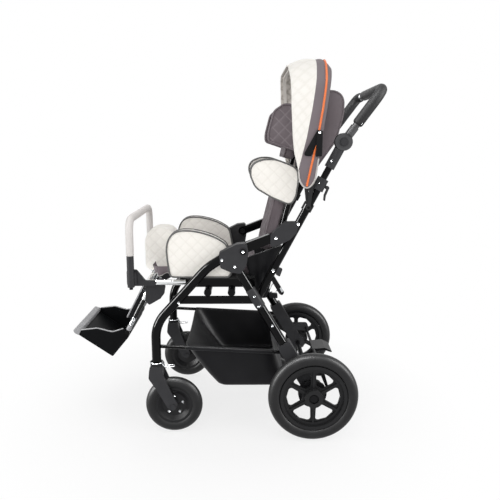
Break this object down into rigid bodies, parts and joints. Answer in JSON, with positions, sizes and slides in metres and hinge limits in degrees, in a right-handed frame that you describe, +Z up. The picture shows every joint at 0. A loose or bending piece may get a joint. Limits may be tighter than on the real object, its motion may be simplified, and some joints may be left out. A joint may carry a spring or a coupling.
{
  "type": "special needs stroller",
  "caption": "Folding special needs stroller with padded seat supports, grab bar, leg rest with foot box, canopy, telescopic tilting handle, swivel casters and basket.",
  "frame": {"origin": "middle of the underside of the bounding box, on the floor between the wheels", "axes": "+Z up, -X the way the rider faces, +Y the rider's right"},
  "size_m": [1.0072, 0.626, 1.2016],
  "materials": {
    "frame_black": "gloss black powder coat",
    "moulded_gray": "fine-grained dark gray moulding",
    "chrome_tube": "polished",
    "bright_steel": "zinc plated",
    "tyre_rubber": "matt tread, smoother side wall",
    "wheel_plastic": "black glass-filled nylon",
    "cream_quilt": "diamond-quilted woven cover",
    "gray_fabric": "dark gray woven cover",
    "basket_cloth": "black coated nylon",
    "gray_foam": "closed-cell foam sleeve",
    "black_foam": "closed-cell foam sleeve",
    "plywood": "sealed plywood board",
    "foot_plastic": "grained black moulding"
  },
  "bodies": {
    "chassis": {"front_leg_left": "frame_black", "front_leg_right": "frame_black", "rear_leg_left": "frame_black", "rear_leg_right": "frame_black", "rear_axle": "bright_steel", "axle_brackets": "moulded_gray", "side_hubs": "moulded_gray", "seat_base_tubes": "frame_black", "seat_rails": "frame_black", "seat_pan": "plywood", "seat_cushion": "gray_fabric", "thigh_supports": "cream_quilt", "basket": "basket_cloth", "basket_rods": "bright_steel", "frame_bolts": "bright_steel"},
    "caster_left": {"caster_fork_left": "moulded_gray"},
    "caster_right": {"caster_fork_right": "moulded_gray"},
    "front_wheel_left": {"front_rim_left": "wheel_plastic", "front_tyre_left": "tyre_rubber"},
    "front_wheel_right": {"front_rim_right": "wheel_plastic", "front_tyre_right": "tyre_rubber"},
    "rear_wheel_left": {"rear_rim_left": "wheel_plastic", "rear_tyre_left": "tyre_rubber"},
    "rear_wheel_right": {"rear_rim_right": "wheel_plastic", "rear_tyre_right": "tyre_rubber"},
    "brake": {"brake_bar": "bright_steel"},
    "back_frame": {"push_tube_left": "frame_black", "push_tube_right": "frame_black", "recline_axle": "frame_black", "arm_links": "frame_black", "upper_connectors": "moulded_gray", "telescope_collars": "moulded_gray", "canopy_clips": "frame_black", "canopy_rear_rib": "moulded_gray"},
    "lever_left": {"clamp_lever_left": "moulded_gray"},
    "lever_right": {"clamp_lever_right": "moulded_gray"},
    "handle_post": {"handle_posts": "bright_steel", "handle_joints": "moulded_gray"},
    "handle": {"handle_bar": "frame_black", "handle_grips": "black_foam"},
    "button_left": {"joint_button_left": "moulded_gray"},
    "button_right": {"joint_button_right": "moulded_gray"},
    "backrest": {"backrest_frame": "frame_black", "back_cushion": "gray_fabric", "back_cover": "gray_fabric", "trunk_supports": "cream_quilt"},
    "headrest": {"headrest_stem": "bright_steel", "headrest_pad": "gray_fabric", "headrest_wings": "gray_fabric"},
    "canopy": {"canopy_front_rib": "moulded_gray", "canopy_hood": "cream_quilt"},
    "seat_front": {"seat_slide_frame": "chrome_tube", "pommel": "cream_quilt", "front_brackets": "moulded_gray"},
    "grab": {"grab_bar": "bright_steel", "grab_foam": "gray_foam"},
    "legrest": {"legrest_frame": "chrome_tube", "calf_panel": "gray_fabric"},
    "footrest": {"footrest_frame": "chrome_tube"},
    "foot_box": {"footplate": "foot_plastic"}
  },
  "joints": [
    {"name": "caster_swivel_left", "type": "hinge", "parent": "chassis", "child": "caster_left", "pos_m": [-0.22749, -0.228, 0.24], "axis": [0, 0, 1], "continuous": true},
    {"name": "front_wheel_spin_left", "type": "hinge", "parent": "caster_left", "child": "front_wheel_left", "pos_m": [-0.17309, -0.228, 0.0937], "axis": [0, 1, 0], "continuous": true},
    {"name": "rear_wheel_spin_left", "type": "hinge", "parent": "chassis", "child": "rear_wheel_left", "pos_m": [0.27951, -0.289, 0.145], "axis": [0, 1, 0], "continuous": true},
    {"name": "clamp_lever_turn_left", "type": "hinge", "parent": "back_frame", "child": "lever_left", "pos_m": [0.31979, -0.198, 0.80493], "axis": [0, -1, 0], "range_deg": [0, 80]},
    {"name": "caster_swivel_right", "type": "hinge", "parent": "chassis", "child": "caster_right", "pos_m": [-0.22749, 0.228, 0.24], "axis": [0, 0, 1], "continuous": true},
    {"name": "front_wheel_spin_right", "type": "hinge", "parent": "caster_right", "child": "front_wheel_right", "pos_m": [-0.17309, 0.228, 0.0937], "axis": [0, 1, 0], "continuous": true},
    {"name": "rear_wheel_spin_right", "type": "hinge", "parent": "chassis", "child": "rear_wheel_right", "pos_m": [0.27951, 0.289, 0.145], "axis": [0, 1, 0], "continuous": true},
    {"name": "clamp_lever_turn_right", "type": "hinge", "parent": "back_frame", "child": "lever_right", "pos_m": [0.31979, 0.198, 0.80493], "axis": [0, -1, 0], "range_deg": [0, 80]},
    {"name": "brake_press", "type": "hinge", "parent": "chassis", "child": "brake", "pos_m": [0.31196, 0, 0.20789], "axis": [0, 1, 0], "range_deg": [0, 13]},
    {"name": "frame_fold", "type": "hinge", "parent": "chassis", "child": "back_frame", "pos_m": [0.05451, 0, 0.61], "axis": [0, -1, 0], "range_deg": [0, 75]},
    {"name": "handle_height", "type": "slide", "parent": "back_frame", "child": "handle_post", "axis": [0.4668, 0, 0.8843], "range_m": [0, 0.1]},
    {"name": "handle_tilt", "type": "hinge", "parent": "handle_post", "child": "handle", "pos_m": [0.36652, 0, 0.94699], "axis": [0, 1, 0], "range_deg": [-15, 60]},
    {"name": "joint_button_press_left", "type": "slide", "parent": "handle", "child": "button_left", "axis": [0, 1, 0], "range_m": [0, 0.004], "stiffness_N_per_m": 800},
    {"name": "joint_button_press_right", "type": "slide", "parent": "handle", "child": "button_right", "axis": [0, -1, 0], "range_m": [0, 0.004], "stiffness_N_per_m": 800},
    {"name": "backrest_recline", "type": "hinge", "parent": "back_frame", "child": "backrest", "pos_m": [0.15216, 0, 0.54095], "axis": [0, 1, 0], "range_deg": [-8, 15]},
    {"name": "headrest_height", "type": "slide", "parent": "backrest", "child": "headrest", "axis": [0.2419, 0, 0.9703], "range_m": [0, 0.06]},
    {"name": "canopy_open", "type": "hinge", "parent": "back_frame", "child": "canopy", "pos_m": [0.25977, 0, 0.74479], "axis": [0, 1, 0], "range_deg": [-65, 0], "deforming": ["canopy_hood"]},
    {"name": "seat_depth", "type": "slide", "parent": "chassis", "child": "seat_front", "axis": [-1, 0, 0], "range_m": [0, 0.06]},
    {"name": "grab_bar_height", "type": "slide", "parent": "seat_front", "child": "grab", "axis": [0, 0, 1], "range_m": [0, 0.08]},
    {"name": "legrest_tilt", "type": "hinge", "parent": "seat_front", "child": "legrest", "pos_m": [-0.25549, 0, 0.47], "axis": [0, 1, 0], "range_deg": [0, 40]},
    {"name": "footrest_length", "type": "slide", "parent": "legrest", "child": "footrest", "axis": [-0.4633, 0, -0.8862], "range_m": [0, 0.04]},
    {"name": "footplate_flip", "type": "hinge", "parent": "footrest", "child": "foot_box", "pos_m": [-0.33703, 0, 0.31403], "axis": [0, 1, 0], "range_deg": [0, 60]}
  ]
}
